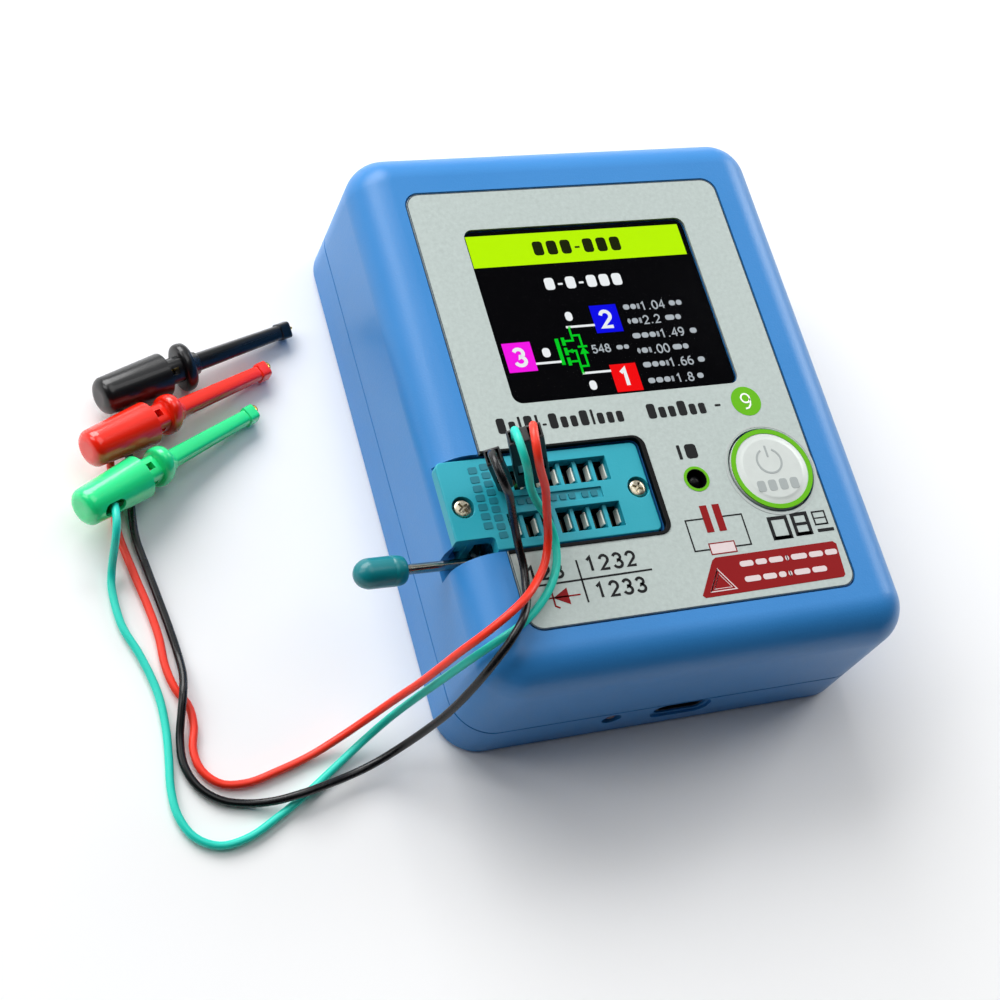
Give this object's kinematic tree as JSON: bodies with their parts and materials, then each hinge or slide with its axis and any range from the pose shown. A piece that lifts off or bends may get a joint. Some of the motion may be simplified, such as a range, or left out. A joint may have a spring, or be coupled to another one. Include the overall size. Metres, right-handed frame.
{
  "type": "electronic component tester",
  "caption": "Hand-held component tester: blue moulded case, colour screen, round test key, lever-operated zero-force socket and plug-in leads with sprung hook clips.",
  "frame": {"origin": "middle of the rear face of the case, which lies on the table", "axes": "+X to the right across the face, +Y up the face towards the screen end, +Z out of the face; the case lies on its back"},
  "size_m": [0.1116, 0.0931, 0.0447],
  "materials": {
    "case_blue": "satin moulded ABS",
    "silver_film": "fine silver print",
    "window_pane": "clear acrylic over a black border",
    "lcd_glass": "polished",
    "tin_plate": "plain",
    "key_film": "satin with printed rings",
    "board_green": "solder mask",
    "cell_foil": "foil pouch",
    "black_plastic": "satin",
    "light_lens": "clear tinted",
    "socket_teal": "satin nylon",
    "knob_teal": "satin",
    "bright_steel": "nickel plated",
    "gold_plate": "gold plated",
    "clip_green": "glossy",
    "clip_red": "glossy",
    "clip_black": "glossy",
    "wire_green": "silicone sleeve",
    "wire_red": "silicone sleeve",
    "wire_black": "silicone sleeve"
  },
  "bodies": {
    "tester": {"front_shell": "case_blue", "rear_shell": "case_blue", "case_screw_1": "bright_steel", "case_screw_2": "bright_steel", "case_screw_3": "bright_steel", "case_screw_4": "bright_steel", "face_panel": "silver_film", "display_window": "window_pane", "lcd_panel": "lcd_glass", "lcd_frame": "tin_plate", "main_pcb": "board_green", "charger_pcb": "board_green", "battery": "cell_foil", "usb_socket": "tin_plate", "charge_led": "light_lens", "switch_body": "black_plastic", "ir_receiver": "black_plastic", "plug_black": "black_plastic", "plug_pair": "black_plastic", "zif_base": "socket_teal", "zif_cover": "socket_teal", "zif_screw_left": "bright_steel", "zif_screw_right": "bright_steel", "zif_contact_front_1": "gold_plate", "zif_contact_front_2": "gold_plate", "zif_contact_front_3": "gold_plate", "zif_contact_front_4": "gold_plate", "zif_contact_front_5": "gold_plate", "zif_contact_front_6": "gold_plate", "zif_contact_front_7": "gold_plate", "zif_contact_rear_1": "gold_plate", "zif_contact_rear_2": "gold_plate", "zif_contact_rear_3": "gold_plate", "zif_contact_rear_4": "gold_plate", "zif_contact_rear_5": "gold_plate", "zif_contact_rear_6": "gold_plate", "zif_contact_rear_7": "gold_plate", "plug_pin_black": "gold_plate", "lead_black": "wire_black", "clip_black_barrel": "clip_black", "clip_black_hook": "gold_plate", "clip_black_spring": "bright_steel", "plug_pin_green": "gold_plate", "lead_green": "wire_green", "clip_green_barrel": "clip_green", "clip_green_hook": "gold_plate", "clip_green_spring": "bright_steel", "plug_pin_red": "gold_plate", "lead_red": "wire_red", "clip_red_barrel": "clip_red", "clip_red_hook": "gold_plate", "clip_red_spring": "bright_steel"},
    "lever": {"zif_lever": "bright_steel", "zif_lever_knob": "knob_teal"},
    "slider": {"zif_slider": "socket_teal"},
    "button": {"test_button": "key_film", "switch_plunger": "black_plastic"},
    "sleeve_green": {"clip_green_sleeve": "clip_green"},
    "sleeve_red": {"clip_red_sleeve": "clip_red"},
    "sleeve_black": {"clip_black_sleeve": "clip_black"}
  },
  "joints": [
    {"name": "lever_hinge", "type": "hinge", "parent": "tester", "child": "lever", "pos_m": [-0.0283, -0.0219, 0.02], "axis": [0, 1, 0], "range_deg": [0, 70]},
    {"name": "slider_slide", "type": "slide", "parent": "tester", "child": "slider", "axis": [-1, 0, 0], "range_m": [0, 0.0004]},
    {"name": "button_press", "type": "slide", "parent": "tester", "child": "button", "axis": [0, 0, -1], "range_m": [0, 0.0005], "stiffness_N_per_m": 300, "springref_m": -0.001},
    {"name": "sleeve_green_slide", "type": "slide", "parent": "tester", "child": "sleeve_green", "axis": [-0.8792, -0.4511, 0.1532], "range_m": [0, 0.0022], "stiffness_N_per_m": 200, "springref_m": -0.0015, "deforming": ["clip_green_spring"]},
    {"name": "sleeve_red_slide", "type": "slide", "parent": "tester", "child": "sleeve_red", "axis": [-0.9086, -0.3904, 0.1483], "range_m": [0, 0.0022], "stiffness_N_per_m": 200, "springref_m": -0.0015, "deforming": ["clip_red_spring"]},
    {"name": "sleeve_black_slide", "type": "slide", "parent": "tester", "child": "sleeve_black", "axis": [-0.9441, -0.3166, 0.0916], "range_m": [0, 0.0022], "stiffness_N_per_m": 200, "springref_m": -0.0015, "deforming": ["clip_black_spring"]}
  ],
  "couplings": [
    {"joint": "slider_slide", "follows": "lever_hinge", "m_per_rad": 0.00032}
  ]
}
